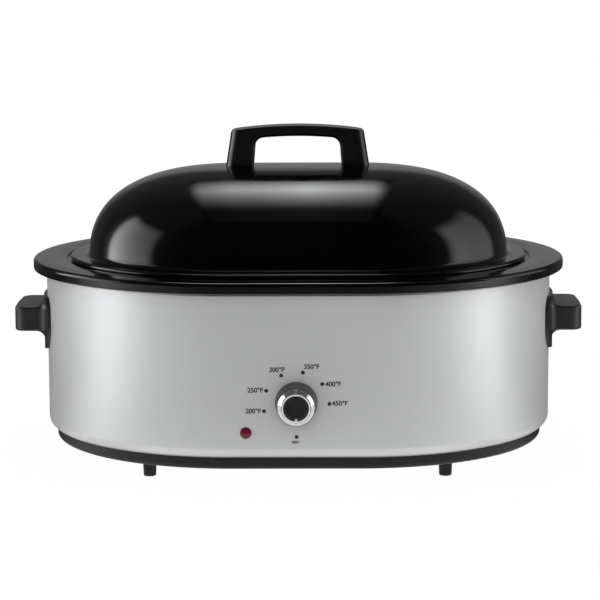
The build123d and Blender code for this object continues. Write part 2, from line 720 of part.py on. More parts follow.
def knob_core():
    """Black hub and face, with a D-shaped bore for the spindle."""
    hub_back, face_front = PANEL_Y - SHAFT_FLAT_BACK - 0.5, PANEL_Y - KNOB_FACE
    core = rod((0, hub_back, KNOB_Z), (0, face_front, KNOB_Z), 6.0)
    core += rod((0, face_front + KNOB_WALL, KNOB_Z), (0, face_front, KNOB_Z), KNOB_FACE_R)
    bore = rod((0, hub_back + 1, KNOB_Z), (0, PANEL_Y - SHAFT_REACH, KNOB_Z), SHAFT_R)
    bore -= block((-5, face_front, KNOB_Z + SHAFT_FLAT), (5, hub_back + 2, KNOB_Z + 5))
    return core - bore


def knob_pointer():
    """Thin triangle laid on the wall of the recess, pointing at the dial from the knob's lowest point."""
    tip_z = KNOB_Z - KNOB_FACE_R - 0.15
    base_z = KNOB_Z - KNOB_RECESS_R + 0.55
    outline = Polyline((0, tip_z), (-POINTER_HALF, base_z), (POINTER_HALF, base_z), close=True)
    back, front = (0, PANEL_Y - KNOB_FACE, KNOB_Z), (0, PANEL_Y - KNOB_FRONT, KNOB_Z)
    prism = Pos(0, PANEL_Y - KNOB_FACE, 0) * extrude(Plane.XZ * make_face(outline), KNOB_FRONT - KNOB_FACE)
    recess = rod(back, front, KNOB_FACE_R, KNOB_RECESS_R)
    middle = rod(back, front, KNOB_FACE_R - 0.35, KNOB_RECESS_R - 0.35)
    return (prism & recess) - middle


def pilot_lens():
    """Red jewel with a domed front and a stem through the panel."""
    stem = rod((LAMP_X, PANEL_Y + LENS_STEM, LAMP_Z), (LAMP_X, PANEL_Y, LAMP_Z), LENS_STEM_R)
    head = rod((LAMP_X, PANEL_Y, LAMP_Z), (LAMP_X, PANEL_Y - LENS_DOME - 1, LAMP_Z), LENS_R)
    rise = LENS_DOME - LENS_RIM
    dome_r = (LENS_R**2 + rise**2) / (2 * rise)
    return stem + (head & Pos(LAMP_X, PANEL_Y - LENS_DOME + dome_r, LAMP_Z) * Sphere(dome_r))


def pilot_holder():
    """Tube behind the lens, closed at the back."""
    back, front = PANEL_Y + HOLDER_DEPTH, PANEL_Y + LENS_STEM
    holder = rod((LAMP_X, back, LAMP_Z), (LAMP_X, front, LAMP_Z), LENS_STEM_R)
    return holder - rod((LAMP_X, back - 2, LAMP_Z), (LAMP_X, front - 1, LAMP_Z), 3.0)


def pilot_clip():
    """Spring washer that holds the lens in the panel."""
    ring = extrude(Circle(7.0) - Circle(LENS_STEM_R + 0.05), SHEET)
    return Pos(LAMP_X, PANEL_Y + 2 * SHEET, LAMP_Z) * Rot(X=90) * ring


def pilot_lamp():
    """Glow lamp in the holder."""
    back = PANEL_Y + HOLDER_DEPTH - 2
    bulb = rod((LAMP_X, back, LAMP_Z), (LAMP_X, back - 11.5, LAMP_Z), 2.4)
    return fillet(bulb.edges().sort_by(Axis.Y)[0], 2.0)


# Wiring


def terminal_block():
    """Block on the back of the liner where the supply joins the inner leads."""
    z, back = BLOCK_SCREW_Z, WELL_OUTER_R + BLOCK_DEPTH
    body = block((-BLOCK_HALF, WELL_OUTER_R, BLOCK_LOW_Z), (BLOCK_HALF, back, BLOCK_HIGH_Z))
    for x in (-BLOCK_SCREW_X, BLOCK_SCREW_X):
        body -= rod((x, back - 7, z), (x, back + 1, z), 2.0)
    return body


def terminal_screws():
    top, z = WELL_OUTER_R + BLOCK_DEPTH, BLOCK_SCREW_Z
    return [
        rod((x, top - 6, z), (x, top, z), 1.98) + rod((x, top, z), (x, top + 1.8, z), 3.2)
        for x in (-BLOCK_SCREW_X, BLOCK_SCREW_X)
    ]


def cord_gland():
    """Bushing that grips the edge of a hole in the back, for a round supply cord."""
    back, z = SHELL_R, GLAND_Z
    gland = rod((0, back, z), (0, back + 3, z), 11.0)
    gland += rod((0, back + 3, z), (0, back + GLAND_REACH, z), 8.4, 6.2)
    gland += rod((0, back - GLAND_DEPTH, z), (0, back, z), GLAND_NECK_R)
    gland += rod((0, back - SHEET - 3, z), (0, back - SHEET, z), 9.0)
    return gland - rod((0, back - GLAND_DEPTH - 1, z), (0, back + GLAND_REACH + 1, z), CORD_R)


def wire(line, radius):
    """Round wire along a line."""
    return sweep(Plane(origin=line @ 0, z_dir=line % 0) * Circle(radius), path=line)


def supply_lead(z, *last_points):
    """Wire from the terminal block round the right end of the shell, then inwards to its last points."""
    block_y, outer_y = WELL_OUTER_R + 7, LEAD_LINE_R
    start = FilletPolyline(
        (BLOCK_HALF, block_y, z),
        (BLOCK_HALF + 5, block_y, z),
        (BLOCK_HALF + 12, outer_y, z),
        (STRAIGHT_HALF, outer_y, z),
        radius=[5.0, 5.0],
    )
    middle = (STRAIGHT_HALF + outer_y, 0, z)
    end = ThreePointArc((STRAIGHT_HALF, outer_y, z), middle, (STRAIGHT_HALF, -outer_y, z))
    run = FilletPolyline((STRAIGHT_HALF, -outer_y, z), *last_points, radius=[4.0] * (len(last_points) - 1))
    return wire(start + end + run, LEAD_R)


def lead_live():
    """From the terminal block to the right contact."""
    end_x = CONTACT_X + CONTACT_HALF
    z = LEAD_Z
    return supply_lead(z, (40, -LEAD_LINE_R, z), (27, CONTACT_Y, z), (end_x, CONTACT_Y, z))


def lead_neutral():
    """From the terminal block to the right element terminal."""
    x, y, z = TERMINAL_MIDDLE_X, TERMINAL_Y - 2, NEUTRAL_Z
    return supply_lead(z, (42, -LEAD_LINE_R, z), (x, y, z + 1), (x, y, TERMINAL_LOW_Z))


def lead_switched():
    """From the left contact to the left element terminal."""
    start_x, end_x, z = -CONTACT_X - CONTACT_HALF, -TERMINAL_MIDDLE_X, LEAD_Z
    points = [
        (start_x, CONTACT_Y, z),
        (start_x - 12, CONTACT_Y, z),
        (end_x, TERMINAL_Y, z + 3),
        (end_x, TERMINAL_Y, TERMINAL_LOW_Z),
    ]
    return wire(FilletPolyline(*points, radius=[4.0, 3.0]), LEAD_R)


def lamp_leads():
    """Two thin wires from the pilot lamp's holder to the element terminals."""
    back, out_y, low_z = PANEL_Y + HOLDER_DEPTH, TERMINAL_Y + 1.6, LEAD_Z - 6
    short_x, short_z = LAMP_X + 1.6, LAMP_Z + 1.6
    short = [
        (short_x, back, short_z),
        (short_x, back + 5, short_z),
        (short_x + 3, back + 5, TERMINAL_LOW_Z + 3),
        (-TERMINAL_OUTER_X, back + 5, TERMINAL_LOW_Z + 3),
    ]
    long_x, long_z = LAMP_X - 1.6, LAMP_Z - 1.6
    long = [
        (long_x, back, long_z),
        (long_x, out_y, long_z),
        (long_x + 9, out_y, low_z),
        (TERMINAL_INNER_X - 5, out_y, low_z),
        (TERMINAL_MIDDLE_X, out_y, low_z + 8),
        (TERMINAL_MIDDLE_X, out_y, TERMINAL_LOW_Z),
    ]
    short_wire = wire(FilletPolyline(*short, radius=[3.0, 2.0]), LAMP_LEAD_R)
    return [short_wire, wire(FilletPolyline(*long, radius=[3.0, 3.0, 3.0, 3.0]), LAMP_LEAD_R)]


NODES = {
    "outer_shell": outer_shell,
    "heating_well": heating_well,
    "base_pan": base_pan,
    "foot_screws": foot_screws,
    "base_screws": base_screws,
    "base_nuts": base_nuts,
    "handle_screws": handle_screws,
    "cookwell": cookwell,
    "rack_grid": rack_grid,
    "rack_handles": rack_handles,
    "lid_dome": lid_dome,
    "lid_handle": lid_handle,
    "lid_washers": lid_washers,
    "lid_screws": lid_screws,
    "heating_element": heating_element,
    "element_clips": element_clips,
    "element_terminals": element_terminals,
    "insulation_wrap": insulation_wrap,
    "bottom_insulation": bottom_insulation,
    "thermostat_bracket": thermostat_bracket,
    "bimetal_strip": bimetal_strip,
    "thermostat_body": thermostat_body,
    "thermostat_plate": thermostat_plate,
    "thermostat_bushing": thermostat_bushing,
    "thermostat_nut": thermostat_nut,
    "thermostat_shaft": thermostat_shaft,
    "thermostat_contacts": thermostat_contacts,
    "knob_skirt": knob_skirt,
    "knob_bezel": knob_bezel,
    "knob_core": knob_core,
    "knob_pointer": knob_pointer,
    "pilot_lens": pilot_lens,
    "pilot_holder": pilot_holder,
    "pilot_clip": pilot_clip,
    "pilot_lamp": pilot_lamp,
    "terminal_block": terminal_block,
    "terminal_screws": terminal_screws,
    "cord_gland": cord_gland,
    "lead_live": lead_live,
    "lead_neutral": lead_neutral,
    "lead_switched": lead_switched,
    "lamp_leads": lamp_leads,
}


def save(node, shape):
    """Writes one node. A list of solids is kept as a group of separate solids."""
    if isinstance(shape, list):
        shape = Compound(children=[solid for piece in shape for solid in piece.solids()])
    export_step(shape, f"parts/{node}.step")


for node, make in NODES.items():
    save(node, make())
for node, (sx, sy) in FEET.items():
    save(node, foot(sx, sy))
for name, side in SIDES.items():
    save(f"side_handle_{name}", side_handle(side))
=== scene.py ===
# %% [markdown]
# # Electric roaster oven
# The oven is a steel wrap round a heated liner. A deep enamelled pan hangs in the liner by its
# wide black rim, and a domed enamelled lid sits in the recess of that rim. The machined frame of
# the oven comes with every part in place; this notebook dresses it: it remakes the formed parts
# whose reflections have to run clean, prints the dial, and gives each part its real finish.

# %% Load the frame
import math

import bmesh
import bpy
from mathutils import Matrix, Vector


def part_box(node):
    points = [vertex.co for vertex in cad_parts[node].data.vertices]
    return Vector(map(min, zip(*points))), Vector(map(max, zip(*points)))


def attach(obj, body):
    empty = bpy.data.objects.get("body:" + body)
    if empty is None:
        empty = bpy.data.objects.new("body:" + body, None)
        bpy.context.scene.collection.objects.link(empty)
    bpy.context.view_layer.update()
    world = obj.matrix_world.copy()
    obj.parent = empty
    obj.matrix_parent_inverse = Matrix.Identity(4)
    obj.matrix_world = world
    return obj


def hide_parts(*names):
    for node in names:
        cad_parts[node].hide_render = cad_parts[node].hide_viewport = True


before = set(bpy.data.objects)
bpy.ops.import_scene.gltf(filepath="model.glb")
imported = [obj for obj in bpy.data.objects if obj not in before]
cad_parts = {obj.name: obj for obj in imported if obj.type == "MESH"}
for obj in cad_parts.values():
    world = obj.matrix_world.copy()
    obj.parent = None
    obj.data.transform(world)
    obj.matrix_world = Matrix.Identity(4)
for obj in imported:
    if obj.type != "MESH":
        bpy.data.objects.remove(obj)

for name in ("Cube", "Light", "Camera"):
    if name in bpy.data.objects:
        bpy.data.objects.remove(bpy.data.objects[name])
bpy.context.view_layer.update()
print("parts in the frame:", len(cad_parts))

# %% [markdown]
# ## Sizes
# The plan of the oven is an oval: two half circles joined by a straight run. Everything formed
# from sheet follows that plan at its own distance from one centre line, so one number, half of
# the straight run, ties all the parts together. The sizes are kept in millimetres, as on a
# drawing, and a finished mesh is scaled to metres once.

# %% Sizes of the plan
MM = 0.001
shell_low, shell_high = (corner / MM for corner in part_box("outer_shell"))
SHELL_R = shell_high.y
STRAIGHT = shell_high.x - SHELL_R
PANEL_Y = shell_low.y
print(f"straight run {2 * STRAIGHT:.1f} mm, shell radius {SHELL_R:.1f} mm")

# %% [markdown]
# ## Effects shared by the finishes
# No real surface has one colour and one gloss. A few effects come back in most finishes: a slow
# drift of tone, the fine skin of enamel or moulded plastic, the streaks that rolling and brushing
# leave in metal, and edges that rub bright or pale. Each could be wired again in every material,
# but as a node group it is built once, and a finish only sets its scale and strength.


# %% Helpers for node trees
def put(tree, kind, **settings):
    """Adds a node and sets its properties or, for a dict called values, its sockets."""
    node = tree.nodes.new(kind)
    for title, value in settings.pop("values", {}).items():
        node.inputs[title].default_value = value
    for title, value in settings.items():
        setattr(node, title, value)
    return node


def new_group(title, inputs, outputs):
    """An empty node group with named sockets, its input node and its output node."""
    group = bpy.data.node_groups.new(title, "ShaderNodeTree")
    for label, value in inputs.items():
        socket = group.interface.new_socket(label, in_out="INPUT", socket_type="NodeSocketFloat")
        socket.default_value = value
    for label in outputs:
        group.interface.new_socket(label, in_out="OUTPUT", socket_type="NodeSocketFloat")
    return group, put(group, "NodeGroupInput"), put(group, "NodeGroupOutput")


def spread(tree, value, low, high, from_low=0.0, from_high=1.0):
    """Stretches a value onto a new range."""
    node = put(tree, "ShaderNodeMapRange")
    for title, number in zip(("From Min", "From Max", "To Min", "To Max"), (from_low, from_high, low, high)):
        node.inputs[title].default_value = number
    tree.links.new(value, node.inputs["Value"])
    return node.outputs["Result"]


def times(tree, a, b):
    """Product of a socket and a socket or a number."""
    node = put(tree, "ShaderNodeMath", operation="MULTIPLY")
    tree.links.new(a, node.inputs[0])
    if isinstance(b, float):
        node.inputs[1].default_value = b
    else:
        tree.links.new(b, node.inputs[1])
    return node.outputs[0]


def total(tree, *values):
    """Sum of sockets."""
    result = values[0]
    for value in values[1:]:
        node = put(tree, "ShaderNodeMath", operation="ADD")
        tree.links.new(result, node.inputs[0])
        tree.links.new(value, node.inputs[1])
        result = node.outputs[0]
    return result


# %% Mottle: the slow drift of tone over a surface
mottle, given, made = new_group("mottle", {"Scale": 10.0}, ["Value", "Fine"])
place = put(mottle, "ShaderNodeTexCoord").outputs["Object"]
for output, factor, detail in (("Value", 1.0, 3.0), ("Fine", 9.0, 6.0)):
    noise = put(mottle, "ShaderNodeTexNoise", values={"Detail": detail, "Roughness": 0.6})
    mottle.links.new(place, noise.inputs["Vector"])
    mottle.links.new(times(mottle, given.outputs["Scale"], factor), noise.inputs["Scale"])
    mottle.links.new(spread(mottle, noise.outputs["Fac"], 0.0, 1.0, 0.32, 0.68), made.inputs[output])
print("group:", mottle.name)

# %% Skin: the slight orange peel of enamel and the grain of a moulded surface
skin, given, made = new_group("skin", {"Scale": 120.0, "Grain": 0.3}, ["Height"])
place = put(skin, "ShaderNodeTexCoord").outputs["Object"]
waves = put(skin, "ShaderNodeTexNoise", values={"Detail": 1.0, "Roughness": 0.4})
grains = put(skin, "ShaderNodeTexNoise", values={"Detail": 4.0, "Roughness": 0.7})
skin.links.new(given.outputs["Scale"], waves.inputs["Scale"])
skin.links.new(times(skin, given.outputs["Scale"], 12.0), grains.inputs["Scale"])
for noise in (waves, grains):
    skin.links.new(place, noise.inputs["Vector"])
fine = times(skin, grains.outputs["Fac"], given.outputs["Grain"])
skin.links.new(total(skin, waves.outputs["Fac"], fine), made.inputs["Height"])
print("group:", skin.name)

# %% Streaks: lines that rolling or brushing leaves along a metal part
streaks, given, made = new_group("streaks", {"Along": 3.0, "Across": 900.0}, ["Value"])
place = put(streaks, "ShaderNodeTexCoord").outputs["Object"]
stretch = put(streaks, "ShaderNodeVectorMath", operation="MULTIPLY")
scales = put(streaks, "ShaderNodeCombineXYZ")
for axis, label in (("X", "Along"), ("Y", "Along"), ("Z", "Across")):
    streaks.links.new(given.outputs[label], scales.inputs[axis])
streaks.links.new(place, stretch.inputs[0])
streaks.links.new(scales.outputs[0], stretch.inputs[1])
noise = put(streaks, "ShaderNodeTexNoise", values={"Scale": 1.0, "Detail": 2.0, "Roughness": 0.5})
streaks.links.new(stretch.outputs[0], noise.inputs["Vector"])
streaks.links.new(spread(streaks, noise.outputs["Fac"], 0.0, 1.0, 0.15, 0.85), made.inputs["Value"])
print("group:", streaks.name)

# %% Edge wear: where a rounded normal leaves the true one there is an edge, and edges rub
edge_wear, given, made = new_group("edge wear", {"Radius": 0.0008, "Patches": 70.0}, ["Mask"])
rounded = put(edge_wear, "ShaderNodeBevel", samples=6)
edge_wear.links.new(given.outputs["Radius"], rounded.inputs["Radius"])
flat = put(edge_wear, "ShaderNodeNewGeometry").outputs["Normal"]
facing = put(edge_wear, "ShaderNodeVectorMath", operation="DOT_PRODUCT")
edge_wear.links.new(rounded.outputs[0], facing.inputs[0])
edge_wear.links.new(flat, facing.inputs[1])
edge = spread(edge_wear, facing.outputs["Value"], 1.0, 0.0, 0.90, 0.995)
noise = put(edge_wear, "ShaderNodeTexNoise", values={"Detail": 5.0, "Roughness": 0.7})
place = put(edge_wear, "ShaderNodeTexCoord").outputs["Object"]
edge_wear.links.new(place, noise.inputs["Vector"])
edge_wear.links.new(given.outputs["Patches"], noise.inputs["Scale"])
patch = spread(edge_wear, noise.outputs["Fac"], 0.0, 1.0, 0.42, 0.62)
edge_wear.links.new(times(edge_wear, edge, patch), made.inputs["Mask"])
print("group:", edge_wear.name)

# %% [markdown]
# ## One recipe for the finishes
# Every finish on the oven is built the same way: two close tones mixed by the mottle, gloss that
# drifts a little, on most parts a bump from the skin or from the streaks, and on many another
# tone where edges rub. So one function lays the nodes, and each finish is a call with its own
# numbers. What is the same all over, such as metalness or the strength of a clear coat, goes
# straight onto the shader.

# %% The recipe
finishes = {}


def mix_colours(tree, factor, first, second):
    """Colour between two, where either may be a colour or a socket."""
    node = put(tree, "ShaderNodeMix", data_type="RGBA")
    tree.links.new(factor, node.inputs["Factor"])
    for title, colour in ((6, first), (7, second)):
        if isinstance(colour, tuple):
            node.inputs[title].default_value = (*colour, 1.0)
        else:
            tree.links.new(colour, node.inputs[title])
    return node.outputs[2]


def use(tree, group, **values):
    """Places a shared effect with this finish's own numbers."""
    node = put(tree, "ShaderNodeGroup", node_tree=group)
    for title, value in values.items():
        node.inputs[title].default_value = value
    return node


def finish(slot, tones, gloss, drift=10.0, worn=None, wear_radius=0.0006, peel=None, lines=None, **shader):
    """Makes the material of one slot.

    tones is two colours and gloss is two roughness values. peel is the scale, grain, strength and
    depth of the skin. lines is the scales along and across of the streaks, their strength and depth.
    """
    material = bpy.data.materials.new(slot + "_finish")
    material.use_nodes = True
    tree = material.node_tree
    principled = tree.nodes["Principled BSDF"]
    for title, value in shader.items():
        principled.inputs[title.replace("_", " ")].default_value = value
    drifting = use(tree, mottle, Scale=drift)
    colour = mix_colours(tree, drifting.outputs["Value"], *tones)
    rough = spread(tree, drifting.outputs["Fine"], *gloss)
    if worn:
        mask = use(tree, edge_wear, Radius=wear_radius).outputs["Mask"]
        colour = mix_colours(tree, mask, colour, worn)
    tree.links.new(colour, principled.inputs["Base Color"])
    tree.links.new(rough, principled.inputs["Roughness"])
    height, strength, depth = None, 0.0, 0.0
    if peel:
        scale, grain, strength, depth = peel
        height = use(tree, skin, Scale=scale, Grain=grain).outputs["Height"]
    if lines:
        along, across, strength, depth = lines
        height = use(tree, streaks, Along=along, Across=across).outputs["Value"]
    if height:
        bump = put(tree, "ShaderNodeBump", values={"Strength": strength, "Distance": depth})
        tree.links.new(height, bump.inputs["Height"])
        tree.links.new(bump.outputs["Normal"], principled.inputs["Normal"])
    finishes[slot] = material


# %% [markdown]
# ## Enamel and moulded black parts
# The lid and the pan are steel under black glass enamel: almost no colour of their own, a mirror
# gloss, and the faint waviness of a fused coat. The lid's handle is polished phenolic, the side
# handles and the knob's skirt are a satin one, the base is a duller moulding and the feet are a
# matt rubber. One black for all would be quicker, but the gloss is what tells them apart.

# %% Enamel and the polished and satin mouldings
finish(
    "black_enamel",
    tones=((0.0004, 0.0004, 0.0005), (0.0010, 0.0010, 0.0011)),
    gloss=(0.08, 0.13),
    drift=7.0,
    peel=(55.0, 0.02, 0.06, 0.0006),
    IOR=1.5,
)
finish(
    "black_gloss_moulding",
    tones=((0.0018, 0.0018, 0.0019), (0.0034, 0.0033, 0.0034)),
    gloss=(0.17, 0.25),
    drift=25.0,
    worn=(0.012, 0.012, 0.012),
    peel=(160.0, 0.1, 0.04, 0.0003),
    IOR=1.5,
)
finish(
    "knob_skirt_moulding",
    tones=((0.0040, 0.0038, 0.0037), (0.0075, 0.0070, 0.0067)),
    gloss=(0.29, 0.38),
    drift=60.0,
    peel=(300.0, 0.3, 0.05, 0.0002),
    IOR=1.5,
)
finish(
    "side_handle_moulding",
    tones=((0.010, 0.0093, 0.0087), (0.016, 0.0148, 0.0138)),
    gloss=(0.29, 0.37),
    drift=25.0,
    worn=(0.030, 0.028, 0.026),
    peel=(180.0, 0.4, 0.06, 0.0003),
    IOR=1.62,
)
print("finishes so far:", len(finishes))

# %% Base, feet and the mouldings of the control
finish(
    "black_moulding",
    tones=((0.0035, 0.0035, 0.0036), (0.0070, 0.0070, 0.0072)),
    gloss=(0.34, 0.46),
    drift=22.0,
    worn=(0.03, 0.03, 0.03),
    peel=(260.0, 0.8, 0.25, 0.0003),
)
finish(
    "rubber_foot",
    tones=((0.010, 0.010, 0.010), (0.018, 0.018, 0.018)),
    gloss=(0.55, 0.72),
    drift=60.0,
    worn=(0.05, 0.05, 0.05),
    peel=(400.0, 1.0, 0.35, 0.0004),
)
finish(
    "gland_rubber",
    tones=((0.009, 0.009, 0.009), (0.017, 0.017, 0.017)),
    gloss=(0.45, 0.6),
    drift=60.0,
    worn=(0.045, 0.045, 0.045),
    peel=(400.0, 1.0, 0.3, 0.0003),
)
finish(
    "knob_black",
    tones=((0.012, 0.012, 0.012), (0.020, 0.020, 0.020)),
    gloss=(0.3, 0.42),
    drift=80.0,
    peel=(500.0, 0.8, 0.2, 0.0002),
)
finish(
    "control_moulding",
    tones=((0.030, 0.022, 0.016), (0.050, 0.036, 0.026)),
    gloss=(0.4, 0.55),
    drift=60.0,
    worn=(0.11, 0.09, 0.07),
    peel=(350.0, 0.8, 0.3, 0.0003),
)
print("finishes so far:", len(finishes))

# %% [markdown]
# ## Metals
# The wrap has a satin silver coat: about half of the light is mirrored in a broad, soft way and
# the rest is scattered, so it never goes as dark as polished steel. A metalness of about one half
# gives both in one shader. Streaks run round the wrap as the sheet was rolled. The liner is
# aluminised steel, the rack is chromed wire, the knob is chromed too, and screws have a zinc coat.

# %% Sheet and hardware
finish(
    "brushed_shell",
    tones=((0.70, 0.702, 0.705), (0.75, 0.751, 0.753)),
    gloss=(0.29, 0.34),
    drift=4.0,
    lines=(2.5, 500.0, 0.05, 0.0002),
    Metallic=0.48,
)
finish(
    "liner_metal",
    tones=((0.48, 0.48, 0.47), (0.62, 0.62, 0.61)),
    gloss=(0.32, 0.5),
    drift=30.0,
    worn=(0.8, 0.8, 0.79),
    peel=(300.0, 1.0, 0.25, 0.0003),
    Metallic=1.0,
)
finish(
    "zinc_hardware",
    tones=((0.50, 0.50, 0.49), (0.66, 0.65, 0.62)),
    gloss=(0.30, 0.42),
    drift=160.0,
    worn=(0.85, 0.85, 0.84),
    wear_radius=0.0003,
    peel=(900.0, 1.0, 0.2, 0.0001),
    Metallic=1.0,
)
print("finishes so far:", len(finishes))

# %% Chrome, steel and brass
finish(
    "chromed_wire",
    tones=((0.60, 0.605, 0.61), (0.70, 0.70, 0.70)),
    gloss=(0.08, 0.2),
    drift=45.0,
    lines=(30.0, 600.0, 0.06, 0.0002),
    Metallic=1.0,
)
finish(
    "shaft_steel",
    tones=((0.42, 0.42, 0.42), (0.55, 0.55, 0.55)),
    gloss=(0.29, 0.38),
    drift=140.0,
    lines=(900.0, 900.0, 0.1, 0.0001),
    Metallic=1.0,
)
finish(
    "knob_chrome",
    tones=((0.88, 0.88, 0.885), (0.94, 0.94, 0.94)),
    gloss=(0.07, 0.12),
    drift=50.0,
    peel=(250.0, 0.05, 0.04, 0.0002),
    Metallic=0.97,
)
finish(
    "brass_parts",
    tones=((0.52, 0.36, 0.13), (0.70, 0.52, 0.22)),
    gloss=(0.29, 0.40),
    drift=120.0,
    worn=(0.86, 0.70, 0.38),
    wear_radius=0.0003,
    peel=(700.0, 1.0, 0.15, 0.0001),
    Metallic=1.0,
)
print("finishes so far:", len(finishes))

# %% [markdown]
# ## Lens, print and the parts inside
# The heating light's lens is red plastic that lets a little light in under a glossy surface. The
# dial is printed in near-black ink and the knob's pointer is white. Inside sit a braided heater
# sleeve, white ceramic, glass-fibre blankets and leads with silicone jackets.

# %% Lens, bulb and print
finish(
    "red_lens",
    tones=((0.105, 0.002, 0.010), (0.15, 0.005, 0.020)),
    gloss=(0.16, 0.26),
    drift=200.0,
    peel=(500.0, 0.2, 0.1, 0.0002),
    Transmission_Weight=0.15,
    IOR=1.49,
    Coat_Weight=0.3,
    Coat_Roughness=0.12,
)
finish(
    "bulb_glass",
    tones=((0.85, 0.80, 0.72), (0.92, 0.88, 0.82)),
    gloss=(0.03, 0.08),
    drift=200.0,
    Transmission_Weight=0.85,
    IOR=1.5,
)
finish(
    "white_mark",
    tones=((0.72, 0.72, 0.71), (0.82, 0.82, 0.81)),
    gloss=(0.3, 0.42),
    drift=300.0,
    peel=(900.0, 0.6, 0.1, 0.0001),
)
finish(
    "dial_ink",
    tones=((0.016, 0.016, 0.017), (0.028, 0.028, 0.030)),
    gloss=(0.4, 0.55),
    drift=300.0,
    peel=(1500.0, 0.8, 0.1, 0.0001),
)
print("finishes so far:", len(finishes))

# %% Parts inside
finish(
    "heater_sleeve",
    tones=((0.55, 0.52, 0.46), (0.74, 0.72, 0.66)),
    gloss=(0.8, 0.95),
    drift=90.0,
    peel=(1500.0, 1.0, 0.6, 0.0006),
)
finish(
    "ceramic_block",
    tones=((0.70, 0.68, 0.62), (0.80, 0.78, 0.73)),
    gloss=(0.5, 0.65),
    drift=80.0,
    worn=(0.60, 0.57, 0.50),
    peel=(500.0, 1.0, 0.3, 0.0003),
)
finish(
    "fibre_insulation",
    tones=((0.72, 0.66, 0.42), (0.84, 0.80, 0.62)),
    gloss=(0.9, 1.0),
    drift=35.0,
    peel=(260.0, 1.0, 0.8, 0.004),
    Sheen_Weight=0.3,
)
for colour, low, high in (
    ("black", (0.010, 0.010, 0.010), (0.020, 0.020, 0.020)),
    ("white", (0.66, 0.66, 0.64), (0.78, 0.78, 0.76)),
    ("red", (0.36, 0.020, 0.016), (0.48, 0.035, 0.028)),
):
    finish("lead_" + colour, (low, high), (0.4, 0.55), drift=90.0, peel=(600.0, 0.6, 0.2, 0.0002))
print("finishes:", len(finishes))

# %% Dress the parts of the frame
for name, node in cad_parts.items():
    for place in node.material_slots:
        satin = name.startswith("side_handle")
        place.material = finishes["side_handle_moulding" if satin else place.material.name]
print("parts dressed:", len(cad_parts))

# %% [markdown]
# ## Tools for formed sheet
# A pressed part is a sheet of even thickness that follows its section all the way round the oval.
# The section starts as a few points; a vertex bevel rounds its corners as a press tool would. To
# carry it round, it is spun half a turn at one end, drawn along the straight, spun at the other
# end and drawn back. The sheet gets its thickness last, once its normals are right.


# %% Draw a section
SHEET_SEGMENTS = 8


def section_line(points, bends):
    """A wire through points (distance from the centre line, height), with its corners rounded."""
    bm = bmesh.new()
    corners = [bm.verts.new((STRAIGHT, -distance, height)) for distance, height in points]
    for start, end in zip(corners, corners[1:]):
        bm.edges.new((start, end))
    for corner, radius in zip(corners[1:-1], bends):
        round_corner(bm, corner, radius, SHEET_SEGMENTS)
    return bm


def round_corner(bm, corner, radius, segments):
    """Replaces a corner of a wire by an arc of that radius."""
    one, other = (edge.other_vert(corner).co - corner.co for edge in corner.link_edges)
    reach = radius * math.tan((math.pi - one.angle(other)) / 2)
    bmesh.ops.bevel(
        bm,
        geom=[corner],
        offset=reach,
        offset_type="OFFSET",
        segments=segments,
        profile=0.5,
        affect="VERTICES",
        material=-1,
        clamp_overlap=False,
    )


# %% Carry a section round the oval
WELD = 0.002
HALF_TURN_STEPS = 64
# short strips beside the round ends, so that the shading turns there and not along the straight
STRAIGHT_SHARES = (0.03, 0.94, 0.03)


def sweep_oval(bm):
    """Carries a section round the oval plan and joins it into one closed band."""
    section = bm.verts[:] + bm.edges[:]
    for side in (1, -1):
        spun = bmesh.ops.spin(
            bm,
            geom=section,
            cent=(side * STRAIGHT, 0, 0),
            axis=(0, 0, 1),
            dvec=(0, 0, 0),
            angle=math.pi,
            steps=HALF_TURN_STEPS,
            use_merge=False,
            use_duplicate=False,
        )
        edges = [part for part in spun["geom_last"] if isinstance(part, bmesh.types.BMEdge)]
        for share in STRAIGHT_SHARES:
            drawn = bmesh.ops.extrude_edge_only(bm, edges=edges)["geom"]
            verts = [part for part in drawn if isinstance(part, bmesh.types.BMVert)]
            edges = [part for part in drawn if isinstance(part, bmesh.types.BMEdge)]
            bmesh.ops.translate(bm, vec=(-side * 2 * STRAIGHT * share, 0, 0), verts=verts)
        section = verts + edges
    bmesh.ops.remove_doubles(bm, verts=bm.verts, dist=WELD)
    bmesh.ops.recalc_face_normals(bm, faces=bm.faces)


def thicken(bm, thickness):
    """Gives a swept sheet its wall, on the far side of the face that was drawn."""
    level = max(bm.faces, key=lambda face: abs(face.normal.z) * face.calc_area())
    if level.normal.z <= 0:
        bmesh.ops.reverse_faces(bm, faces=bm.faces)
    bmesh.ops.solidify(bm, geom=bm.faces[:], thickness=thickness)


# %% Finish a piece
SHARP = 35.0


def piece(name, bm, body, slot, stands_for=()):
    """Makes a bmesh drawn in millimetres a piece that rides on a body of the frame."""
    bmesh.ops.scale(bm, vec=(MM, MM, MM), verts=bm.verts)
    mesh = bpy.data.meshes.new(name)
    open_edges = sum(not edge.is_manifold for edge in bm.edges)
    bm.to_mesh(mesh)
    bm.free()
    mesh.shade_smooth()
    mesh.set_sharp_from_angle(angle=math.radians(SHARP))
    made = bpy.data.objects.new(name, mesh)
    bpy.context.scene.collection.objects.link(made)
    made.data.materials.append(finishes[slot])
    weighted = made.modifiers.new("flats stay flat", "WEIGHTED_NORMAL")
    weighted.keep_sharp = True
    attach(made, body)
    if stands_for:
        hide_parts(*stands_for)
    size = [f"{side / MM:.1f}" for side in made.dimensions]
    print(f"{name}: {len(mesh.polygons)} faces, {open_edges} open edges, {' x '.join(size)} mm")
    return made


# %% [markdown]
# ## Lid
# The lid is drawn from one sheet. Its dome is squarer than an ellipse: a vertex bevel with its
# profile above one half squares an arc off in just that way, so a single corner of two straight
# lines becomes the whole curve. Below the dome the sheet turns out into a flat flange, and the
# flange is curled under into a bead, which stiffens it and hides the cut edge.

